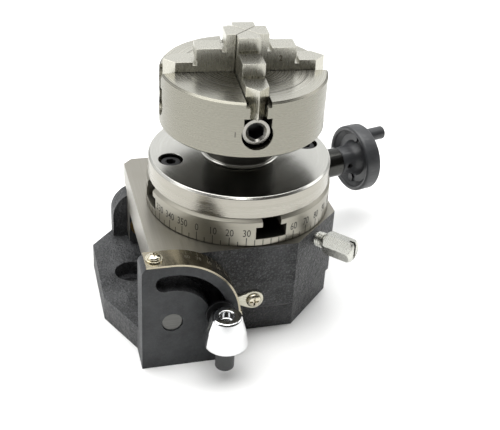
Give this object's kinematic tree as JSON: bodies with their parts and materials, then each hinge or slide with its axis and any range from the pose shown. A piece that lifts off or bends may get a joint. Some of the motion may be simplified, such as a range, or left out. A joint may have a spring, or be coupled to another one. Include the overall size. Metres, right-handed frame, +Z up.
{
  "type": "rotary table",
  "caption": "Small tilting rotary table: worm-driven graduated table on a hinged cast body, with a back plate and independent-jaw chuck on top.",
  "frame": {"origin": "on the resting face of the base, directly under the table's axis when the table is level", "axes": "+Z up along the table axis, +X towards the handwheel side, -Y towards the tilt scale and clamp"},
  "size_m": [0.1519, 0.1386, 0.1242],
  "materials": {
    "cast_iron_paint": "black textured paint on cast iron",
    "blackened_steel": "black oxide",
    "scale_steel": "polished strip",
    "plated_steel": "bright plated",
    "bronze": "machined bronze",
    "chrome": "polished chrome plate",
    "black_plastic": "satin black",
    "turned_steel": "fine turned",
    "ground_steel": "polished turned face",
    "chuck_steel": "ground",
    "screw_steel": "machined",
    "dark_steel": "dark machined steel"
  },
  "bodies": {
    "base": {"base_casting": "cast_iron_paint", "near_pivot_pin": "blackened_steel", "far_pivot_pin": "blackened_steel", "tilt_scale": "scale_steel", "scale_screws": "plated_steel", "scale_washers": "plated_steel"},
    "tilt_body": {"body_casting": "cast_iron_paint", "pivot_bushes": "bronze", "tilt_pointer": "scale_steel", "pointer_screw": "plated_steel", "clamp_stud": "blackened_steel", "clamp_washer": "blackened_steel", "spindle_bush": "bronze", "thrust_ring": "bronze", "bottom_cover": "blackened_steel", "cover_screws": "blackened_steel", "worm_sleeve": "dark_steel", "end_bush": "bronze", "sleeve_screw": "blackened_steel", "index_ring": "dark_steel", "lock_pad": "bronze"},
    "table": {"rotary_table": "turned_steel", "worm_wheel": "bronze", "wheel_screws": "blackened_steel", "retaining_washer": "blackened_steel", "spindle_nut": "blackened_steel", "t_nuts": "blackened_steel", "back_plate": "ground_steel", "back_plate_screws": "blackened_steel", "chuck_body": "chuck_steel", "screw_forks": "blackened_steel"},
    "worm_drive": {"worm": "screw_steel", "worm_shaft": "screw_steel", "dial_collar": "dark_steel", "handwheel": "black_plastic", "handwheel_pins": "dark_steel", "grip_screw": "blackened_steel"},
    "lock": {"lock_screw": "plated_steel"},
    "clamp_lever": {"clamp_hub": "chrome", "clamp_grip": "black_plastic"},
    "screw_1": {"jaw_screw_1": "screw_steel"},
    "jaw_1": {"jaw_1": "chuck_steel"},
    "screw_2": {"jaw_screw_2": "screw_steel"},
    "jaw_2": {"jaw_2": "chuck_steel"},
    "screw_3": {"jaw_screw_3": "screw_steel"},
    "jaw_3": {"jaw_3": "chuck_steel"},
    "screw_4": {"jaw_screw_4": "screw_steel"},
    "jaw_4": {"jaw_4": "chuck_steel"}
  },
  "joints": [
    {"name": "tilt", "type": "hinge", "parent": "base", "child": "tilt_body", "pos_m": [-0.0386, 0, 0.0224], "axis": [0, -1, 0], "range_deg": [0, 90]},
    {"name": "table_turn", "type": "hinge", "parent": "tilt_body", "child": "table", "pos_m": [0, 0, 0.03], "axis": [0, 0, 1], "continuous": true},
    {"name": "worm_turn", "type": "hinge", "parent": "tilt_body", "child": "worm_drive", "pos_m": [-0.00725, 0.02705, 0.033], "axis": [0.9659, 0.2588, 0], "continuous": true},
    {"name": "table_lock", "type": "hinge", "parent": "tilt_body", "child": "lock", "pos_m": [0, 0, 0.041], "axis": [0.6777, -0.7353, 0], "range_deg": [-180, 180]},
    {"name": "tilt_clamp", "type": "hinge", "parent": "tilt_body", "child": "clamp_lever", "pos_m": [-0.01899, -0.0528, 0.02516], "axis": [0, -1, 0], "range_deg": [-60, 60]},
    {"name": "jaw_screw_1_turn", "type": "hinge", "parent": "table", "child": "screw_1", "pos_m": [0, 0, 0.0946], "axis": [-0.0732, -0.9973, 0], "range_deg": [0, 2640]},
    {"name": "jaw_1_slide", "type": "slide", "parent": "table", "child": "jaw_1", "axis": [-0.0732, -0.9973, 0], "range_m": [0, 0.011]},
    {"name": "jaw_screw_2_turn", "type": "hinge", "parent": "table", "child": "screw_2", "pos_m": [0, 0, 0.0946], "axis": [0.9973, -0.0732, 0], "range_deg": [0, 2640]},
    {"name": "jaw_2_slide", "type": "slide", "parent": "table", "child": "jaw_2", "axis": [0.9973, -0.0732, 0], "range_m": [0, 0.011]},
    {"name": "jaw_screw_3_turn", "type": "hinge", "parent": "table", "child": "screw_3", "pos_m": [0, 0, 0.0946], "axis": [0.0732, 0.9973, 0], "range_deg": [0, 2640]},
    {"name": "jaw_3_slide", "type": "slide", "parent": "table", "child": "jaw_3", "axis": [0.0732, 0.9973, 0], "range_m": [0, 0.011]},
    {"name": "jaw_screw_4_turn", "type": "hinge", "parent": "table", "child": "screw_4", "pos_m": [0, 0, 0.0946], "axis": [-0.9973, 0.0732, 0], "range_deg": [0, 2640]},
    {"name": "jaw_4_slide", "type": "slide", "parent": "table", "child": "jaw_4", "axis": [-0.9973, 0.0732, 0], "range_m": [0, 0.011]}
  ],
  "couplings": [
    {"joint": "worm_turn", "follows": "table_turn", "ratio": 36},
    {"joint": "jaw_screw_1_turn", "follows": "jaw_1_slide", "rad_per_m": 4188.8},
    {"joint": "jaw_screw_2_turn", "follows": "jaw_2_slide", "rad_per_m": 4188.8},
    {"joint": "jaw_screw_3_turn", "follows": "jaw_3_slide", "rad_per_m": 4188.8},
    {"joint": "jaw_screw_4_turn", "follows": "jaw_4_slide", "rad_per_m": 4188.8}
  ]
}
